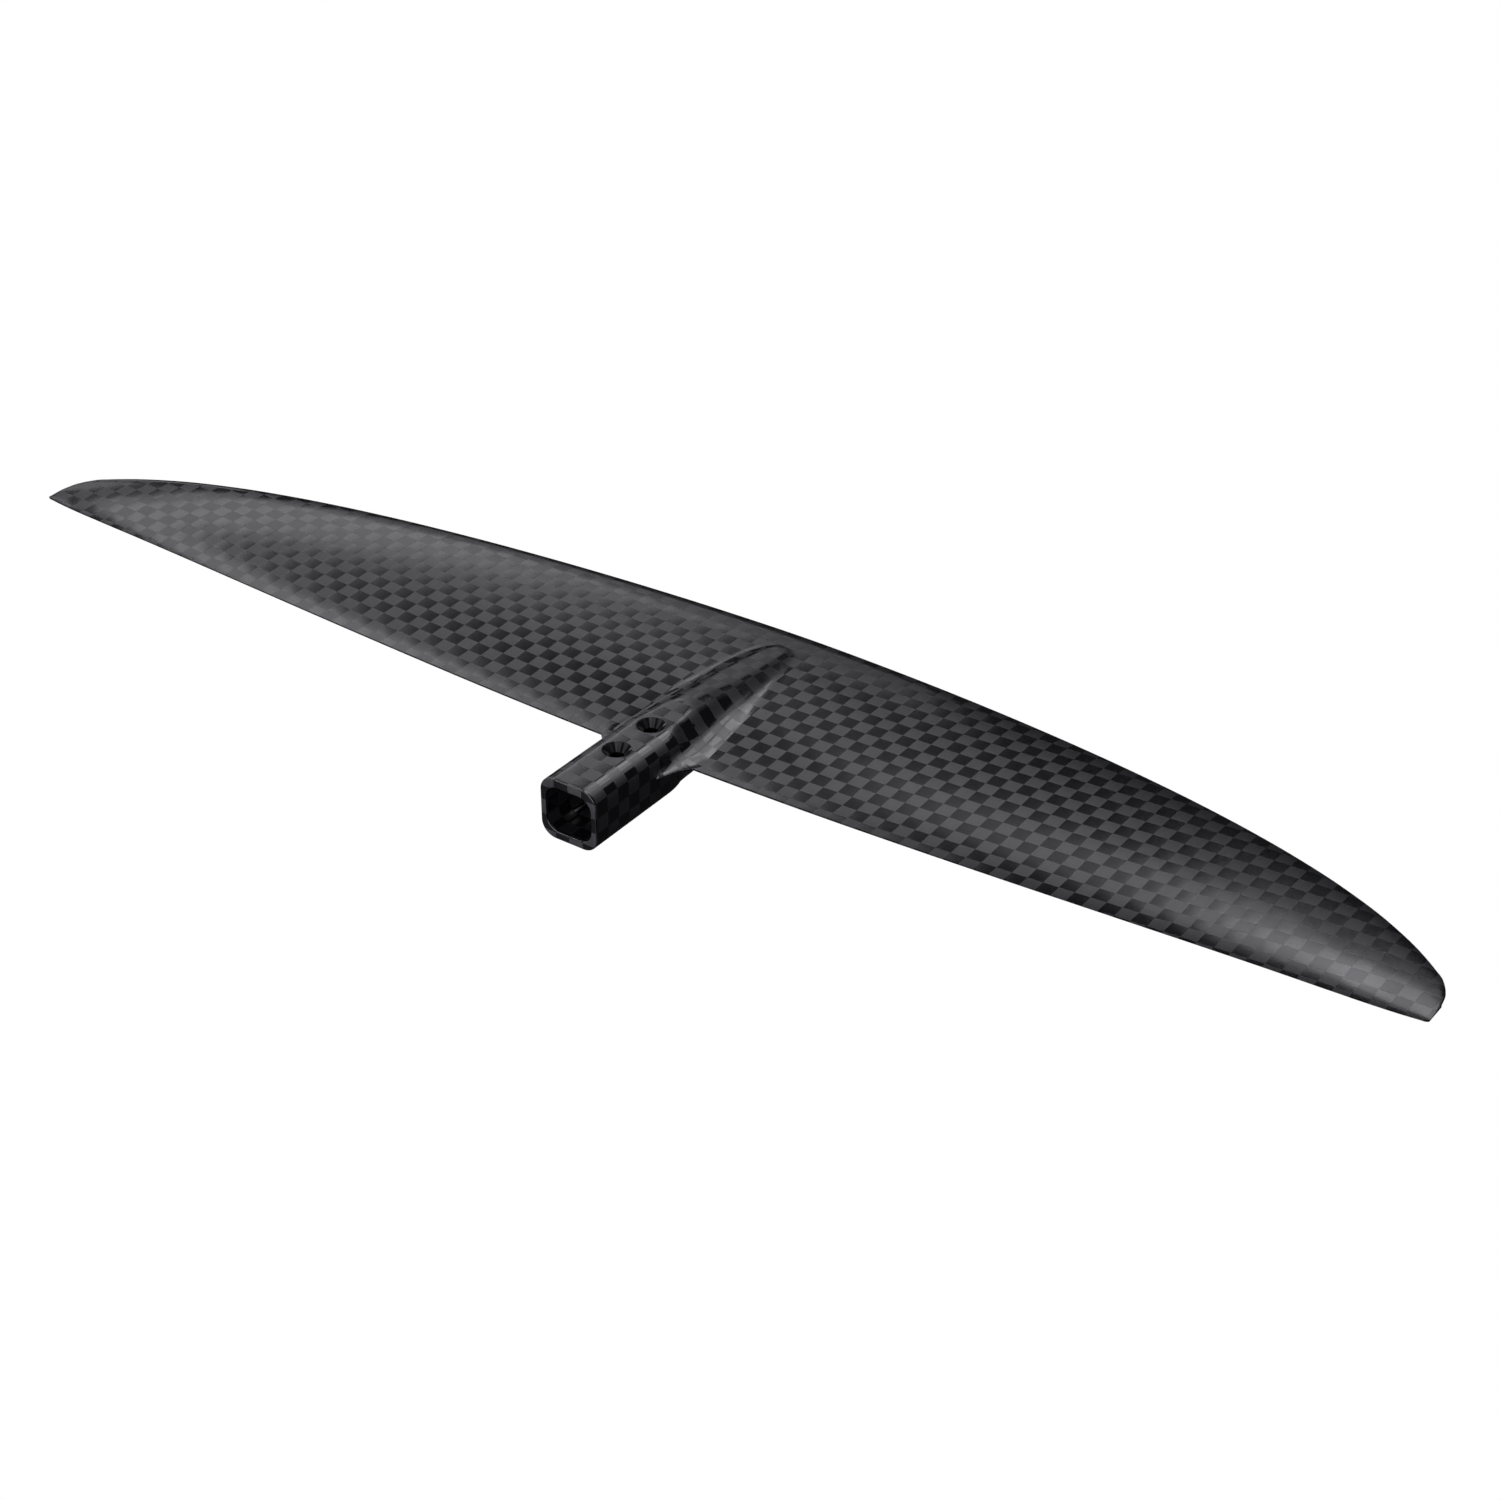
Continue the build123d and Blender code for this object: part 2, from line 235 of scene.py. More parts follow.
# =============================================================================
# Wing shell: one closed skin from tip to tip
# =============================================================================
def wing_stations():
    half = list(np.arange(0.0, 336.0, 3.0)) + list(np.arange(336.0, 364.0, 1.6)) \
        + list(np.arange(364.0, 371.0, 0.8)) + [371.5, 372.1, 372.7, 373.2, 373.7, 374.1, 374.5, 374.8, 375.0]
    half = sorted(set(round(h, 3) for h in half))
    return [-h for h in half[:0:-1]] + half


N_UP, N_LO = 64, 44


def wing_ring(x, shrink=0.0):
    su = 1 - np.cos(np.linspace(np.pi / 2, 0, N_UP))       # trailing edge to nose
    sl = 1 - np.cos(np.linspace(0, np.pi / 2, N_LO))[1:]   # nose to trailing edge
    yu, zu = wing_up(x, su)
    yl, zl = wing_lo(x, sl)
    y, z = np.concatenate([yu, yl]), np.concatenate([zu, zl])
    if shrink:
        yl_, yt_, zl_, zt_ = plan(x)
        mid = (z.max() + z.min()) / 2
        z = mid + (z - mid) * (1 - shrink * 0.55)
        ym = (yl_ + yt_) / 2
        y = ym + (y - ym) * (1 - shrink * 0.035)
    return y, z


rings, uvs = [], []
stations = wing_stations()
ends = ((0.12, 0.35), (0.2, 0.75), (0.24, 1.15))
for k, x in enumerate(stations):
    if k == 0:
        for dx, sh in ends[::-1]:
            y, z = wing_ring(x, sh)
            rings.append(np.stack([np.full_like(y, x - dx), y, z], 1))
            uvs.append(np.stack([np.full_like(y, (x - dx) / TILE), (y - Y_GRID) / TILE], 1))
    y, z = wing_ring(x)
    rings.append(np.stack([np.full_like(y, x), y, z], 1))
    uvs.append(np.stack([np.full_like(y, x / TILE), (y - Y_GRID) / TILE], 1))
    if k == len(stations) - 1:
        for dx, sh in ends:
            y, z = wing_ring(x, sh)
            rings.append(np.stack([np.full_like(y, x + dx), y, z], 1))
            uvs.append(np.stack([np.full_like(y, (x + dx) / TILE), (y - Y_GRID) / TILE], 1))
wing = loft("wing_skin", rings, uvs)
face_out(wing)
smooth(wing, 40)

# =============================================================================
# Socket and fairing: one closed body
# =============================================================================
W, H, R = 15.3, 30.8, 7.5
Y_MOUTH, Y_BORE_END = -47.6, 28.0
FAIR_Y = np.array([-4.3, -3.6, -2.3, 1.0, 4.4, 6.8, 8.6, 11.0, 20.0, 32.0, 45.0, 58.0, 71.0, 84.0, 96.0, 107.0, 113.0, 116.0, 118.2, 119.3, 119.8])
FAIR_W = np.array([15.32, 16.9, 18.6, 20.2, 21.8, 23.6, 25.4, 26.8, 26.0, 24.6, 23.2, 21.6, 20.2, 18.7, 16.6, 13.4, 9.8, 7.3, 4.7, 2.4, 0.5])
HUMP_T = np.array([0.0, 0.12, 0.22, 0.30, 0.37, 0.45, 0.54, 0.63, 0.72, 0.81, 0.90, 1.0])
HUMP_P = np.array([1.0, 0.994, 0.975, 0.935, 0.86, 0.665, 0.425, 0.255, 0.155, 0.085, 0.034, 0.0])
HUMP_F = np.array([1.0, 0.996, 0.99, 0.975, 0.94, 0.80, 0.57, 0.335, 0.145, 0.045, 0.012, 0.0])   # steeper flank toward the nose
TOP_Y = np.array([-60.0, 24.0, 34.0, 42.0, 50.0, 58.0, 71.0, 84.0, 96.0, 107.0, 113.0, 116.0, 118.2, 119.8])
TOP_Z = np.array([0.8, 0.8, 0.35, -0.3, -1.0, -2.0, -3.6, -5.1, -6.5, -7.75, -8.5, -9.0, -9.5, -10.1])   # cut level at 0
BOT_Y = np.array([-60.0, 52.0, 64.0, 74.0, 84.0, 96.0, 107.0, 116.0, 119.8])
BOT_Z = np.array([-32.4, -32.4, -31.8, -30.6, -29.0, -26.7, -24.2, -22.1, -21.4])   # cut flat at -H below
EDGE_Y = np.array([-60.0, -4.3, -3.6, -2.3, 1.0, 4.4, 8.96])
EDGE_ZT = np.array([-14.2, -14.2, -12.9, -12.05, -11.9, -11.86, -11.84])
EDGE_ZB = np.array([-14.25, -14.25, -13.1, -12.45, -12.6, -12.7, -12.74])
RF_Y = np.array([-60.0, -4.3, -2.3, 1.0, 4.4, 9.0, 14.0, 20.0, 26.0, 40.0])
RF_TOP = np.array([0.8, 0.8, 2.2, 3.6, 4.2, 4.3, 4.3, 4.3, 4.3, 4.3])
RF_BOT = np.array([0.8, 0.8, 3.0, 5.5, 7.0, 8.0, 9.0, 9.8, 10.4, 10.4])
TE0 = 8.96


def lin(xs, ys, y):
    return float(np.interp(y, xs, ys))


def smoothstep(a, b, v):
    t = min(max((v - a) / (b - a), 0.0), 1.0)
    return t * t * (3 - 2 * t)


NF, NA_, NV, NC = 7, 13, 6, 16


def side_u(z):
    """Cloth coordinate down the side wall, in mm."""
    return 14.93 + (Z_GRID - z)


def half_profile(y, top):
    """x, z and cloth coordinate from the centre line out to the joint with the wing (starboard side)."""
    w = float(hermite(FAIR_Y, FAIR_W, y, False)) if y > FAIR_Y[0] else W + 0.0
    if y <= TE0:
        zb = lin(EDGE_Y, EDGE_ZT if top else EDGE_ZB, y)
    else:
        zb = float(z_up(w, y)) if top else float(z_lo(w, y))
    sgn = 1.0 if top else -1.0
    z_flat = 0.0 if top else -H
    rf = lin(RF_Y, RF_TOP if top else RF_BOT, y)
    # tube with its corner and the hollow fillet out to the wing
    xs, zs, us = [], [], []
    xs += list(np.linspace(0, W - R, NF)); zs += [z_flat] * NF
    th = np.linspace(0, np.pi / 2, NA_)[1:]
    xs += list(W - R + R * np.sin(th)); zs += list(z_flat - sgn * (R - R * np.cos(th)))
    zc = z_flat - sgn * R
    zf = zb + sgn * rf
    if sgn * (zc - zf) < 0.4:
        zf = zc - sgn * 0.4
        rf = abs(zf - zb)
    v = np.linspace(0, 1, NV + 1)[1:]
    xs += [W] * NV; zs += list(zc + (zf - zc) * v)
    ph = np.linspace(0, np.pi / 2, NC + 1)[1:]
    a = max(w - W, 0.0)
    xs += list(w - a * np.cos(ph)); zs += list(zf - sgn * rf * np.sin(ph))
    A = np.stack([xs, zs], 1)
    # cloth coordinate on the tube
    if top:
        u = A[:, 0].copy()
        n0 = NF + NA_ - 1
        zz = A[NF:, 1]
        t45 = (NF + (NA_ - 1) // 2)
        for k in range(t45, len(u)):
            z = A[k, 1]
            u[k] = max(u[k - 1], 13.1 + (-2.2 - z) * 0.654 if z > Z_GRID else side_u(z))
        uf0 = u[NF + NA_ - 1 + NV - 1]
        if y > FAIR_Y[0]:
            f = np.linspace(0, 1, NC + 1)[1:]
            u[-NC:] = uf0 + (w - uf0) * f if w > uf0 else uf0 - (uf0 - w) * f
    else:
        arc = np.concatenate([[0], np.cumsum(np.hypot(*np.diff(A, axis=0).T))])
        u = arc.copy()
        n1 = NF + NA_ - 1 + NV - 1
        u_side = side_u(A[:, 1])
        m = np.arange(len(u)) >= NF + NA_ - 1
        u = np.where(m, u_side, side_u(A[NF + NA_ - 2, 1]) + (arc[NF + NA_ - 2] - arc))
        if y > FAIR_Y[0]:
            f = np.linspace(0, 1, NC + 1)[1:]
            u[-NC:] = u[n1] + (w - u[n1]) * f
    # smooth hump
    wt = 1.0 - smoothstep(8.0, 24.0, y)
    if wt < 1.0:
        peak = float(hermite(TOP_Y, TOP_Z, y)) if top else float(hermite(BOT_Y, BOT_Z, y))
        z0 = float(z_up(0.0, y)) if top else float(z_lo(0.0, y))
        h = sgn * (peak - z0)
        t = np.linspace(0, 1, 241)
        bell = hermite(HUMP_T, HUMP_P + (HUMP_F - HUMP_P) * smoothstep(46.0, 74.0, y), t)
        bx = w * t
        zs0 = z_up(bx, np.full_like(bx, y)) if top else z_lo(bx, np.full_like(bx, y))
        # the top of the hump keeps the height of the crest; the wing's own rise fades in outward
        bz = zs0 + sgn * h * bell
        al = np.concatenate([[0], np.cumsum(np.hypot(np.diff(bx), np.diff(bz)))])
        aa = np.concatenate([[0], np.cumsum(np.hypot(*np.diff(A, axis=0).T))])
        q = aa / aa[-1] * al[-1]
        B = np.stack([np.interp(q, al, bx), np.interp(q, al, bz)], 1)
        ub = B[:, 0]
        P = A * wt + B * (1 - wt)
        u = u * wt + ub * (1 - wt)
    else:
        P = A
    P[:, 1] = np.clip(P[:, 1], -H, 0.0)
    if y > TE0:
        P[:, 1] = P[:, 1] + sgn * 0.015
    return P, u


def body_ring(y, inset=0.0):
    T, ut = half_profile(y, True)
    B, ub = half_profile(y, False)
    pts = [(x, z) for x, z in T[::-1]] + [(-x, z) for x, z in T[1:]]
    us = list(ut[::-1]) + list(-ut[1:])
    pts += [(-x, z) for x, z in B[::-1]] + [(x, z) for x, z in B[1:]]
    us += list(-ub[::-1]) + list(ub[1:])
    pts = np.array(pts)
    if inset:
        cx, cz = 0.0, -H / 2
        sx, sz = (W - inset) / W, (H / 2 - inset) / (H / 2)
        pts = np.stack([cx + (pts[:, 0] - cx) * sx, cz + (pts[:, 1] - cz) * sz], 1)
    return np.stack([pts[:, 0], np.full(len(pts), y), pts[:, 1]], 1), \
        np.stack([np.array(us) / TILE, np.full(len(pts), (y - Y_GRID) / TILE)], 1)


ys = [(-47.6, 0.45), (-47.54, 0.26), (-47.4, 0.11), (-47.2, 0.03), (-46.9, 0.0)]
ys += [(v, 0.0) for v in np.arange(-45.0, -5.0, 2.5)]
ys += [(v, 0.0) for v in (-4.6, -4.3, -4.15, -3.9, -3.6, -3.2, -2.8, -2.3, -1.7, -1.0)]
ys += [(v, 0.0) for v in np.arange(0.0, 30.0, 1.0) if abs(v - 9.0) > 0.3]
ys += [(v, 0.0) for v in (8.8, 9.1)]
ys += [(v, 0.0) for v in np.arange(30.0, 112.0, 1.6)]
ys += [(v, 0.0) for v in (112.5, 113.5, 114.5, 115.4, 116.2, 117.0, 117.7, 118.3, 118.8, 119.2, 119.5, 119.7)]
ys = sorted(ys)
rings, uvs = [], []
for y, ins in ys:
    r, u = body_ring(y, ins)
    rings.append(r)
    uvs.append(u)
body = loft("socket_fairing", rings, uvs)
face_out(body)


def rounded_bar(name, w, z0, z1, r, y0, y1, n=10):
    pts = []
    zc = ((z0 - r, 0), (z1 + r, 0))
    for cx, cz, a0 in ((w / 2 - r, z0 - r, 0.0), (-(w / 2 - r), z0 - r, 90.0),
                       (-(w / 2 - r), z1 + r, 180.0), (w / 2 - r, z1 + r, 270.0)):
        for k in range(n + 1):
            a = math.radians(a0 + 90.0 * k / n)
            pts.append((cx + r * math.cos(a), cz + r * math.sin(a)))
    pts = np.array(pts)
    return [np.stack([pts[:, 0], np.full(len(pts), yy), pts[:, 1]], 1) for yy in (y0, y1)], pts


def lathe(name, profile, y, n=96):
    """profile: (r, z) pairs from the axis out, spun about a vertical axis at x=0, y."""
    rings = []
    a = np.linspace(0, 2 * np.pi, n, endpoint=False)
    for r, z in profile:
        rings.append(np.stack([r * np.cos(a), y + r * np.sin(a), np.full(n, z)], 1))
    return rings


# hollow for the liner, and the two screw seats
LINER = 1.2
bar, _ = rounded_bar("liner_hole", 24.6 + 2 * LINER, -4.3 + LINER, -26.7 - LINER, 6.5 + LINER, -49.0, 28.02, 12)
cut_bore = loft("cut_bore", bar)
face_out(cut_bore)
cutters = [cut_bore]
SEAT = 0.3                   # thickness of the seat lining
for ys_ in (-12.5, 12.5):
    prof = [(6.6 + SEAT + 0.5, 0.5), (6.6 + SEAT, 0.0), (3.3 + SEAT, -3.3), (3.3 + SEAT, -4.6)]
    c = loft("cut_seat", lathe("c", prof, ys_))
    face_out(c)
    cutters.append(c)
# small pit on the starboard shoulder of the fairing
pit_c = Vector((11.8, 28.6, 0.0))
Pp, _u = half_profile(28.6, True)
pit_c.z = float(np.interp(pit_c.x, Pp[:, 0], Pp[:, 1]))
nrm = Vector((0.42, 0.0, 0.9)).normalized()
a = np.linspace(0, 2 * np.pi, 24, endpoint=False)
q1 = nrm.orthogonal().normalized(); q2 = nrm.cross(q1)
pr = []
for rr, dd in ((0.95, 0.6), (0.85, 0.0), (0.7, -0.5), (0.3, -0.8)):
    pr.append(np.array([tuple(pit_c + q1 * (rr * math.cos(t)) + q2 * (rr * math.sin(t)) + nrm * dd) for t in a]))
pit = loft("cut_pit", pr)
face_out(pit)
cutters.append(pit)

# =============================================================================
# Materials
# =============================================================================
def new_mat(name):
    m = bpy.data.materials.new(name)
    m.use_nodes = True
    nt = m.node_tree
    nt.nodes.clear()
    out = nt.nodes.new("ShaderNodeOutputMaterial")
    bs = nt.nodes.new("ShaderNodeBsdfPrincipled")
    nt.links.new(bs.outputs[0], out.inputs[0])
    return m, nt, bs


class Net:
    """Short hand for building shader networks."""

    def __init__(self, nt):
        self.nt = nt

    def node(self, kind, **props):
        n = self.nt.nodes.new(kind)
        for k, v in props.items():
            setattr(n, k, v)
        return n

    def put(self, sock, v):
        if hasattr(v, "is_output") or isinstance(v, bpy.types.NodeSocket):
            self.nt.links.new(v, sock)
        else:
            sock.default_value = v

    def math(self, op, a, b=None, c=None, clamp=False):
        n = self.node("ShaderNodeMath", operation=op, use_clamp=clamp)
        self.put(n.inputs[0], a)
        if b is not None:
            self.put(n.inputs[1], b)
        if c is not None:
            self.put(n.inputs[2], c)
        return n.outputs[0]

    def vmath(self, op, a, b=None, scale=None):
        n = self.node("ShaderNodeVectorMath", operation=op)
        self.put(n.inputs[0], a)
        if b is not None:
            self.put(n.inputs[1], b)
        if scale is not None:
            self.put(n.inputs["Scale"], scale)
        return n.outputs["Value"] if op in ("DOT_PRODUCT", "LENGTH", "DISTANCE") else n.outputs[0]

    def xyz(self, v):
        n = self.node("ShaderNodeSeparateXYZ")
        self.put(n.inputs[0], v)
        return n.outputs[0], n.outputs[1], n.outputs[2]

    def vec(self, x, y, z=0.0):
        n = self.node("ShaderNodeCombineXYZ")
        for s, v in zip(n.inputs, (x, y, z)):
            self.put(s, v)
        return n.outputs[0]

    def mix(self, f, a, b):
        n = self.node("ShaderNodeMix", data_type="FLOAT")
        self.put(n.inputs[0], f)
        self.put(n.inputs[2], a)
        self.put(n.inputs[3], b)
        return n.outputs[0]

    def mixv(self, f, a, b):
        n = self.node("ShaderNodeMix", data_type="VECTOR")
        self.put(n.inputs[0], f)
        self.put(n.inputs[4], a)
        self.put(n.inputs[5], b)
        return n.outputs[1]

    def mixc(self, f, a, b):
        n = self.node("ShaderNodeMix", data_type="RGBA")
        self.put(n.inputs[0], f)
        self.put(n.inputs[6], a)
        self.put(n.inputs[7], b)
        return n.outputs[2]

    def noise(self, v, scale, detail=3.0, rough=0.5):
        n = self.node("ShaderNodeTexNoise")
        self.put(n.inputs["Vector"], v)
        self.put(n.inputs["Scale"], scale)
        self.put(n.inputs["Detail"], detail)
        self.put(n.inputs["Roughness"], rough)
        return n.outputs[0]

    def white(self, v):
        n = self.node("ShaderNodeTexWhiteNoise", noise_dimensions="2D")
        self.put(n.inputs["Vector"], v)
        return n.outputs[0]

    def ramp(self, f, lo, hi, a=0.0, b=1.0, kind="SMOOTHSTEP"):
        n = self.node("ShaderNodeMapRange", interpolation_type=kind)
        self.put(n.inputs[0], f)
        self.put(n.inputs[1], lo)
        self.put(n.inputs[2], hi)
        self.put(n.inputs[3], a)
        self.put(n.inputs[4], b)
        return n.outputs[0]


# look of the cloth: tows along Y are "warp", tows along X are "weft"
# painted sheen: warp and weft are one fibre, but the warp base colour is painted about five times lighter than the
# weft, standing in for the sheen each tow direction catches
WARP = dict(col=(0.055, 0.056, 0.061), rough=0.38)
WEFT = dict(col=(0.011, 0.0113, 0.0128), rough=0.14)
CLOTH_ANISO = 0.85


def cloth_material(name, planar=None, dark=1.0, coat=1.0, coat_rough=0.09):
    """Spread-tow cloth under clear lacquer. planar: None for the stored cloth coordinates,
    or 'XY' / 'XZ' / 'YZ' for a flat direction of the row frame."""
    m, nt, bs = new_mat(name)
    N = Net(nt)
    geo = N.node("ShaderNodeNewGeometry")
    tc = N.node("ShaderNodeTexCoord")
    obj = tc.outputs["Object"]
    ox, oy, oz = N.xyz(obj)
    if planar is None:
        uvn = N.node("ShaderNodeUVMap", uv_map="cloth")
        U, V, _ = N.xyz(uvn.outputs[0])
    elif planar == "XZ":
        U = N.math("DIVIDE", ox, TILE * MM)
        V = N.math("DIVIDE", N.math("SUBTRACT", oz, Z_GRID * MM), TILE * MM)
    elif planar == "YZ":
        U = N.math("DIVIDE", N.math("SUBTRACT", oy, Y_GRID * MM), TILE * MM)
        V = N.math("DIVIDE", N.math("SUBTRACT", oz, Z_GRID * MM), TILE * MM)
    else:
        U = N.math("DIVIDE", ox, TILE * MM)
        V = N.math("DIVIDE", N.math("SUBTRACT", oy, Y_GRID * MM), TILE * MM)
    # tows wander by a few hundredths of their width
    wob = N.noise(N.vec(U, V), 0.55, 1.0)
    Uw = N.math("ADD", U, N.math("MULTIPLY", N.math("SUBTRACT", wob, 0.5), 0.06))
    wob2 = N.noise(N.vmath("ADD", N.vec(U, V), (31.7, 11.3, 0.0)), 0.55, 1.0)
    Vw = N.math("ADD", V, N.math("MULTIPLY", N.math("SUBTRACT", wob2, 0.5), 0.06))
    iu, iv = N.math("FLOOR", Uw), N.math("FLOOR", Vw)
    fu, fv = N.math("FRACT", Uw), N.math("FRACT", Vw)
    par = N.math("FRACT", N.math("MULTIPLY", N.math("ADD", iu, iv), 0.5))
    par = N.math("GREATER_THAN", par, 0.25)                       # 1 on weft tiles
    # fibre lines run along each tow
    along = N.mix(par, fv, fu)
    across = N.mix(par, fu, fv)
    tile_id = N.vec(iu, iv)
    rnd = N.white(tile_id)
    f1 = N.noise(N.vec(N.math("MULTIPLY", N.mix(par, Uw, Vw), 34.0), N.math("MULTIPLY", N.mix(par, Vw, Uw), 1.6),
                       N.math("MULTIPLY", rnd, 13.0)), 1.0, 3.0, 0.6)
    f2 = N.noise(N.vec(N.math("MULTIPLY", N.mix(par, Uw, Vw), 9.0), N.math("MULTIPLY", N.mix(par, Vw, Uw), 0.7),
                       N.math("MULTIPLY", rnd, 7.0)), 1.0, 2.0, 0.5)
    # tow bends down at both ends where it passes under its neighbours
    ends = N.math("ABSOLUTE", N.math("SUBTRACT", along, 0.5))
    side = N.math("ABSOLUTE", N.math("SUBTRACT", across, 0.5))
    gap = N.math("MAXIMUM", N.ramp(ends, 0.482, 0.5), N.math("MULTIPLY", N.ramp(side, 0.478, 0.5), 0.8))
    # painted sheen: alternate tiles take the lighter warp colour in place of the sheen of their fibre direction
    base = N.mixc(par, (*WARP["col"], 1), (*WEFT["col"], 1))
    tone = N.math("MULTIPLY", N.ramp(f1, 0.2, 0.8, 0.80, 1.20, "LINEAR"), N.ramp(f2, 0.25, 0.75, 0.86, 1.14, "LINEAR"))
    tone = N.math("MULTIPLY", tone, N.ramp(rnd, 0.0, 1.0, 0.86, 1.14, "LINEAR"))
    tone = N.math("MULTIPLY", tone, N.ramp(gap, 0.0, 1.0, 1.0, 0.84, "LINEAR"))
    # painted shading: each tow is drawn darker at one end and lighter at the other, standing in for how light falls
    # along it
    tow_painted_shading = N.ramp(along, 0.0, 1.0, 0.90, 1.10, "LINEAR")
    tone = N.math("MULTIPLY", tone, tow_painted_shading)
    # painted light and shade: dark scales the whole base colour, giving lit and shaded copies of the one cloth for the
    # mouth and the bore
    tone = N.math("MULTIPLY", tone, dark)
    bc = N.vmath("SCALE", base, scale=tone)
    nt.links.new(bc, bs.inputs["Base Color"])
    # roughness
    rg = N.math("ADD", N.ramp(f1, 0.2, 0.8, -0.05, 0.05, "LINEAR"), N.mix(par, WARP["rough"], WEFT["rough"]))
    nt.links.new(rg, bs.inputs["Roughness"])
    bs.inputs["Anisotropic"].default_value = CLOTH_ANISO
    bs.inputs["IOR"].default_value = 2.15
    # stretch of the sheen: across the fibres
    nrm_ = geo.outputs["Normal"]
    tv = (0.0, 1.0, 0.0) if planar != "XZ" else (0.0, 0.0, 1.0)
    tu = N.vmath("CROSS_PRODUCT", nrm_, tv)
    tang = N.mixv(par, tu, tv)
    nt.links.new(N.vmath("NORMALIZE", tang), bs.inputs["Tangent"])
    # bump: crimp of the tows and fibres, under the lacquer
    crimp = N.math("MULTIPLY", N.math("SUBTRACT", 0.25, N.math("MULTIPLY", ends, ends)), 1.0)
    hgt = N.math("ADD", N.math("MULTIPLY", crimp, 0.10), N.math("MULTIPLY", f1, 0.010))
    hgt = N.math("SUBTRACT", hgt, N.math("MULTIPLY", gap, 0.003))
    bump = N.node("ShaderNodeBump")
    bump.inputs["Strength"].default_value = 1.0
    bump.inputs["Distance"].default_value = 0.001
    nt.links.new(hgt, bump.inputs["Height"])
    nt.links.new(bump.outputs[0], bs.inputs["Normal"])
    # lacquer with a little orange peel
    bs.inputs["Coat Weight"].default_value = coat
    bs.inputs["Coat IOR"].default_value = 1.42
    bs.inputs["Coat Roughness"].default_value = coat_rough
    peel = N.noise(obj, 420.0, 1.0)
    b2 = N.node("ShaderNodeBump")
    b2.inputs["Strength"].default_value = 0.25
    b2.inputs["Distance"].default_value = 0.00002
    nt.links.new(peel, b2.inputs["Height"])
    nt.links.new(b2.outputs[0], bs.inputs["Coat Normal"])
    return m


def resin_material(name, col, rough, grain=(1.0, 0.05, 1.0), coat=0.0):
    """Bare moulded laminate: dark resin with drawn-out fibre grain."""
    m, nt, bs = new_mat(name)
    N = Net(nt)
    obj = N.node("ShaderNodeTexCoord").outputs["Object"]
    g1 = N.noise(N.vmath("MULTIPLY", obj, grain), 2400.0, 3.0, 0.6)
    g2 = N.noise(obj, 120.0, 3.0, 0.5)
    tone = N.math("MULTIPLY", N.ramp(g1, 0.25, 0.75, 0.7, 1.3, "LINEAR"), N.ramp(g2, 0.3, 0.7, 0.85, 1.15, "LINEAR"))
    nt.links.new(N.vmath("SCALE", N.vec(*col), scale=tone), bs.inputs["Base Color"])
    nt.links.new(N.math("ADD", N.ramp(g2, 0.3, 0.7, -0.06, 0.08, "LINEAR"), rough), bs.inputs["Roughness"])
    b = N.node("ShaderNodeBump")
    b.inputs["Strength"].default_value = 0.5
    b.inputs["Distance"].default_value = 0.00004
    nt.links.new(g1, b.inputs["Height"])
    nt.links.new(b.outputs[0], bs.inputs["Normal"])
    bs.inputs["Coat Weight"].default_value = coat
    return m


def foam_material(name):
    m, nt, bs = new_mat(name)
    N = Net(nt)
    obj = N.node("ShaderNodeTexCoord").outputs["Object"]
    vor = N.node("ShaderNodeTexVoronoi", feature="F1")
    nt.links.new(obj, vor.inputs["Vector"])
    vor.inputs["Scale"].default_value = 1600.0
    cell = vor.outputs["Distance"]
    big = N.noise(obj, 60.0, 3.0)
    tone = N.math("MULTIPLY", N.ramp(cell, 0.0, 0.7, 0.75, 1.05, "LINEAR"), N.ramp(big, 0.3, 0.7, 0.92, 1.05, "LINEAR"))
    nt.links.new(N.vmath("SCALE", N.vec(0.72, 0.68, 0.55), scale=tone), bs.inputs["Base Color"])
    bs.inputs["Roughness"].default_value = 0.85
    b = N.node("ShaderNodeBump")
    b.inputs["Strength"].default_value = 0.6
    b.inputs["Distance"].default_value = 0.0002
    nt.links.new(cell, b.inputs["Height"])
    nt.links.new(b.outputs[0], bs.inputs["Normal"])
    return m


M_CLOTH = cloth_material("carbon_cloth")
# painted light: the mouth's end face is the same cloth with its base colour painted 3.8 times lighter, in place of
# light from low in front
M_END_PAINTED_LIGHT = cloth_material("carbon_cloth_end_painted_light", planar="XZ", dark=3.8, coat=0.6, coat_rough=0.2)
# painted shade: the bore's faces are the same cloth painted at 0.8 of its colour, darker inside the socket
M_BORE_SIDE_PAINTED_SHADE = cloth_material("carbon_cloth_bore_side_painted_shade", planar="YZ", dark=0.8, coat=1.0, coat_rough=0.08)
M_BORE_FLAT_PAINTED_SHADE = cloth_material("carbon_cloth_bore_flat_painted_shade", planar="XY", dark=0.8, coat=1.0, coat_rough=0.08)
M_FLATTOP = cloth_material("carbon_cloth_planar", planar="XY")
M_INNER = resin_material("carbon_inner_laminate", (0.012, 0.012, 0.013), 0.32, coat=0.6)
M_SEAT = resin_material("carbon_seat", (0.016, 0.016, 0.017), 0.15, grain=(1.0, 1.0, 0.1), coat=1.0)
M_UD = resin_material("carbon_unidirectional", (0.02, 0.02, 0.022), 0.45, grain=(0.03, 1.0, 1.0))
M_FOAM = foam_material("foam_closed_cell")

wing.data.materials.append(M_CLOTH)

body.data.materials.append(M_CLOTH)
body.data.materials.append(M_END_PAINTED_LIGHT)
body.data.materials.append(M_INNER)
for c in cutters:
    c.data.materials.append(M_INNER)
apply_boolean(body, cutters)
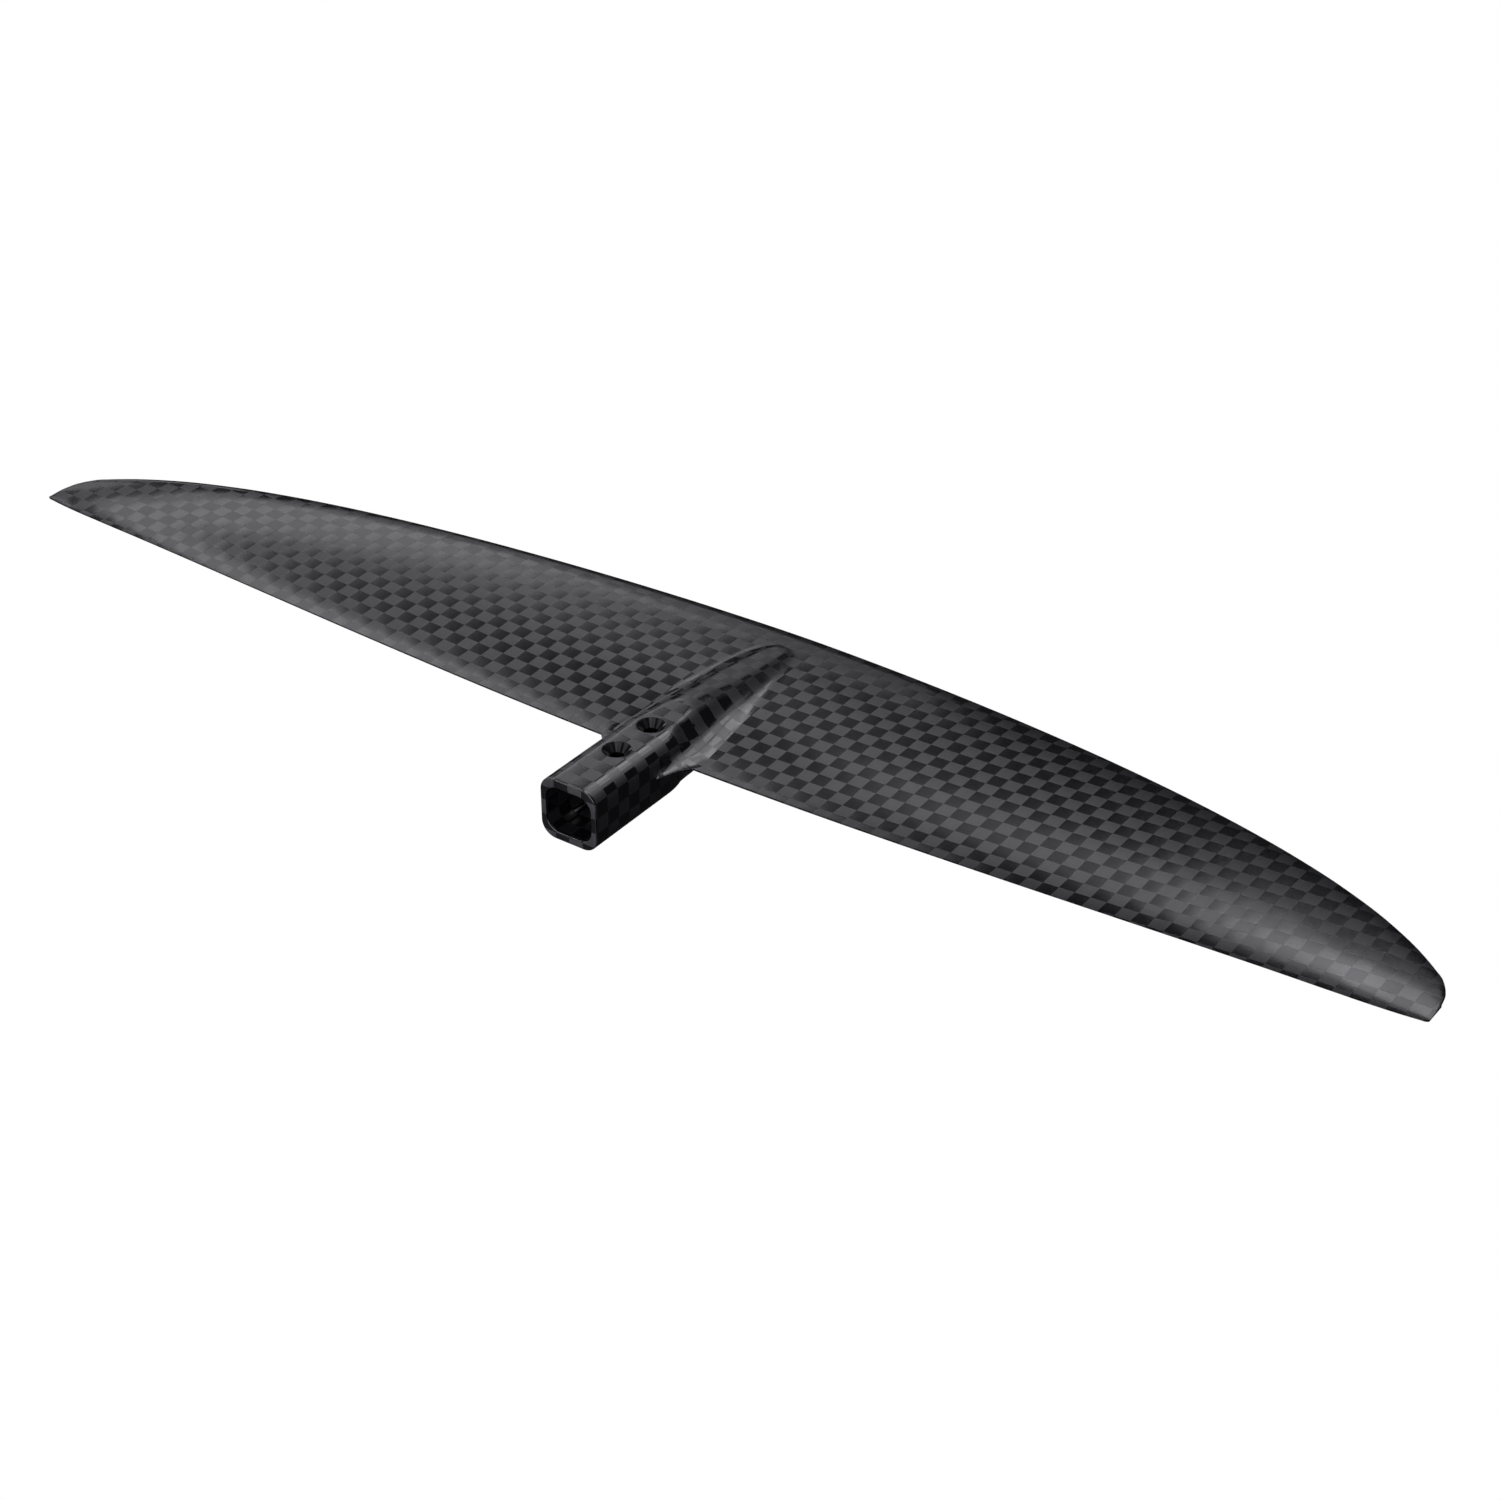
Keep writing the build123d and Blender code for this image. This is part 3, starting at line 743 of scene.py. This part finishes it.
# faces of the mouth get the cloth's end-grain direction and its painted-light copy, 3.8 times lighter
names = [m.name for m in body.data.materials]
end_i, skin_i = names.index(M_END_PAINTED_LIGHT.name), names.index(M_CLOTH.name)
for p in body.data.polygons:
    if p.material_index == skin_i and p.normal.y < -0.9 and p.center.y < -0.0474:
        p.material_index = end_i
smooth(body, 32)

# inner liner of the socket
outer, opts = rounded_bar("lo", 24.6 + 2 * LINER - 0.06, -4.3 + LINER - 0.03, -26.7 - LINER + 0.03, 6.5 + LINER - 0.03, -47.58, 28.0, 12)
inner, ipts = rounded_bar("li", 24.6, -4.3, -26.7, 6.5, -47.58, 28.0, 12)


def frac(a, b, t):
    return a * (1 - t) + b * t


lr = []
opt, ipt = opts, ipts
def ring_at(p, y):
    return np.stack([p[:, 0], np.full(len(p), y), p[:, 1]], 1)


grow = lambda p, d: np.stack([p[:, 0] * (12.3 + d) / 12.3, -15.5 + (p[:, 1] + 15.5) * (11.2 + d) / 11.2], 1)
lr.append(ring_at(opt, 27.98))
for y in np.linspace(27.9, -47.3, 30):
    lr.append(ring_at(opt, y))
lr.append(ring_at(opt, -47.57))
lr.append(ring_at(grow(ipt, 0.45), -47.57))
lr.append(ring_at(grow(ipt, 0.22), -47.50))
lr.append(ring_at(grow(ipt, 0.08), -47.35))
lr.append(ring_at(ipt, -47.1))
for y in np.linspace(-46.0, 27.9, 30):
    lr.append(ring_at(ipt, y))
lr.append(ring_at(ipt, 27.98))
n = len(opt)
verts = np.concatenate(lr)
faces = []
for a_ in range(len(lr)):
    o, p = a_ * n, ((a_ + 1) % len(lr)) * n
    for k in range(n):
        k2 = (k + 1) % n
        faces.append((o + k, o + k2, p + k2, p + k))
liner = make_mesh("socket_liner", verts, faces)
liner.data.materials.append(M_INNER)
liner.data.materials.append(M_END_PAINTED_LIGHT)
face_out(liner)
cut = []
for ys_ in (-12.5, 12.5):
    c = loft("cut_hole", lathe("c", [(3.3 + SEAT, 2.0), (3.3 + SEAT, -5.5)], ys_, 64))
    face_out(c)
    c.data.materials.append(M_INNER)
    cut.append(c)
apply_boolean(liner, cut)
# painted-shade copies of the cloth for the inside of the bore
liner.data.materials.append(M_BORE_SIDE_PAINTED_SHADE)
liner.data.materials.append(M_BORE_FLAT_PAINTED_SHADE)
names = [m.name for m in liner.data.materials]
side_i, flat_i = names.index(M_BORE_SIDE_PAINTED_SHADE.name), names.index(M_BORE_FLAT_PAINTED_SHADE.name)
# the liner's mouth face takes the painted-light end cloth; its bore faces take the painted-shade bore cloth
for p in liner.data.polygons:
    if p.normal.y < -0.9 and p.center.y < -0.0474:
        p.material_index = 1
    elif abs(p.center.x) < 0.01232 and -0.02672 < p.center.z < -0.00428:
        p.material_index = side_i if abs(p.normal.x) > abs(p.normal.z) else flat_i
smooth(liner, 32)

# screw seats: conical lining and the clearance bore below it
seats = []
for tag, ys_ in (("rear", -12.5), ("front", 12.5)):
    t = SEAT - 0.02
    prof = [(6.6 + t, -0.02), (6.62, -0.02), (6.45, -0.16), (3.42, -3.2), (3.3, -3.34), (3.3, -4.28), (3.38, -4.36),
            (3.3 + t, -4.36), (3.3 + t, -3.42)]
    rr = lathe("s", prof, ys_, 96)
    m_ = len(rr[0])
    verts = np.concatenate(rr)
    faces = []
    for a_ in range(len(rr)):
        o, p = a_ * m_, ((a_ + 1) % len(rr)) * m_
        for k in range(m_):
            k2 = (k + 1) % m_
            faces.append((o + k, o + k2, p + k2, p + k))
    s = make_mesh("screw_seat_lining_" + tag, verts, faces)
    s.data.materials.append(M_SEAT)
    face_out(s)
    smooth(s, 30)
    seats.append(s)

# =============================================================================
# Pieces and carried-over nodes
# =============================================================================
for ob in [wing, body, liner] + seats:
    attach(ob, "root")
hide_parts("skin_upper", "skin_lower", "leading_edge_port", "leading_edge_starboard",
            "trailing_edge_port", "trailing_edge_starboard", "tip_block_port", "tip_block_starboard")
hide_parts("fairing_upper", "fairing_lower", "socket_jacket")
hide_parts("socket_sleeve")
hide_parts("screw_seat_rear")
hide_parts("screw_seat_front")


def dress(node, mat):
    me = nodes[node].data
    me.materials.clear()
    me.materials.append(mat)


for nname in ("spar_cap_upper", "spar_cap_lower", "shear_web_port", "shear_web_starboard"):
    dress(nname, M_UD)
for nname in ("core_fore_port", "core_fore_starboard", "core_aft_port", "core_aft_starboard"):
    dress(nname, M_FOAM)
dress("socket_bulkhead", M_INNER)

# =============================================================================
# Floor and light
# =============================================================================
scene = bpy.context.scene
scene.view_settings.view_transform = "Standard"
scene.view_settings.look = "None"
scene.view_settings.exposure = 0.0
scene.view_settings.gamma = 1.0

fm, fnt, fbs = new_mat("floor_white")
em = fnt.nodes.new("ShaderNodeEmission")
em.inputs[0].default_value = (1.0, 1.0, 1.0, 1.0)
em.inputs[1].default_value = 1.0
fnt.links.new(em.outputs[0], [n_ for n_ in fnt.nodes if n_.type == "OUTPUT_MATERIAL"][0].inputs[0])
fnt.nodes.remove(fbs)
fme = bpy.data.meshes.new("floor")
S_ = 30.0
zf = cad_lo.z - 0.0002
fme.from_pydata([(-S_, -S_, zf), (S_, -S_, zf), (S_, S_, zf), (-S_, S_, zf)], [], [(0, 1, 2, 3)])
floor = bpy.data.objects.new("floor", fme)
floor.data.materials.append(fm)
scene.collection.objects.link(floor)
floor.visible_glossy = False
floor.visible_diffuse = False
floor.visible_transmission = False
# the same white carried up behind the floor on all sides
bme = bpy.data.meshes.new("backdrop")
bme.from_pydata([(sx * S_, sy * S_, zz) for zz in (zf, S_) for sx, sy in ((-1, -1), (1, -1), (1, 1), (-1, 1))], [],
                [(0, 4, 5, 1), (1, 5, 6, 2), (2, 6, 7, 3), (3, 7, 4, 0), (4, 7, 6, 5)])
backdrop = bpy.data.objects.new("backdrop", bme)
backdrop.data.materials.append(fm)
scene.collection.objects.link(backdrop)
backdrop.visible_glossy = False
backdrop.visible_diffuse = False
backdrop.visible_transmission = False
backdrop.visible_shadow = False

world = bpy.data.worlds.new("studio")
scene.world = world
world.use_nodes = True
wnt = world.node_tree
bg = wnt.nodes["Background"]
bg.inputs[0].default_value = (0.9, 0.93, 1.0, 1.0)
bg.inputs[1].default_value = 0.012


def direction(az, el):
    a, e = math.radians(az), math.radians(el)
    return Vector((math.sin(a) * math.cos(e), -math.cos(a) * math.cos(e), math.sin(e)))


def panel(name, start, end, width, radiance, dist=6.0, target=(0.0, 0.06, 0.0), tint=(0.96, 0.945, 1.0)):
    """Flat light panel whose long middle line runs from start to end, both (azimuth, elevation)
    in degrees in the same sense as the camera's; width is its angle across."""
    p0, p1 = direction(*start) * dist, direction(*end) * dist
    mid = (p0 + p1) / 2
    z = mid.normalized()
    x = (p1 - p0)
    long_ = x.length
    x = (x - z * x.dot(z)).normalized()
    y = z.cross(x)
    ld = bpy.data.lights.new(name, "AREA")
    ld.shape = "RECTANGLE"
    ld.size, ld.size_y = long_, 2 * dist * math.tan(math.radians(width / 2))
    ld.energy = radiance * math.pi * ld.size * ld.size_y
    ld.color = tint
    lo = bpy.data.objects.new(name, ld)
    lo.matrix_world = Matrix.Translation(Vector(target) + mid) @ Matrix((x, y, z)).transposed().to_4x4()
    scene.collection.objects.link(lo)
    return lo


# rear overhead softbox, in leaves
panel("box_starboard", (138, 50), (161, 50), 28.0, 0.47)
panel("box_middle", (161, 55.5), (184, 55.5), 20.0, 0.92)
panel("box_port", (184, 55.5), (207, 55.5), 20.0, 1.12)
panel("box_port_end", (207, 57), (222, 57), 16.0, 0.73)
panel("box_edge", (160, 43.7), (189, 43.7), 4.0, 0.95)
panel("box_spot", (202, 42.5), (212, 42), 3.5, 0.84)
panel("box_foot", (189, 43.3), (212, 41.5), 6.0, 1.10)
panel("box_foot_port", (205, 37.5), (218, 37.5), 4.0, 0.40)
# curved strip behind to port, with a dimmer rim
panel("strip_1", (212.5, 14), (215.5, 24.5), 5.5, 0.06)
panel("strip_2", (215.5, 24.5), (219.5, 28.5), 5.5, 0.49)
panel("strip_3", (219.5, 28.5), (229, 33.8), 5.5, 0.67)
panel("strip_4", (229, 33.8), (240, 41), 5.5, 0.67)
panel("strip_5", (240, 41), (252, 51), 5.5, 1.23)
panel("rim_low", (212.5, 14), (217.5, 27), 11.0, 0.19)
panel("rim_high", (218, 27.5), (240, 41), 11.0, 0.11)
# port side wall of light
panel("wall_low", (256, 8), (256, 26), 14.0, 0.94)
panel("wall_high", (256, 26), (257, 48), 14.0, 2.46)
panel("wall_top", (246, 56), (262, 60), 14.0, 2.07)
panel("wall_foot", (224, 15), (246, 17), 3.0, 0.73)
panel("wall_edge", (231, 23.5), (243, 30), 6.0, 0.43)
# soft light from the front, the sides and overhead
panel("front_port", (-5, 7), (-35, 7), 12.0, 2.80, dist=5.0)
panel("front_middle", (25, 7), (-5, 7), 12.0, 2.80, dist=5.0)
panel("front_starboard", (60, 7), (25, 7), 12.0, 0.90, dist=5.0)
panel("key_starboard", (60, 62), (25, 62), 40.0, 0.50, dist=5.0)
panel("key_port", (25, 62), (-20, 62), 40.0, 0.34, dist=5.0)
panel("overhead", (215, 85), (215, 70), 30.0, 2.13, dist=5.0)
panel("side_starboard", (120, 40), (90, 40), 30.0, 0.09, dist=5.0)
panel("side_port", (-40, 40), (-70, 40), 30.0, 0.28, dist=5.0)
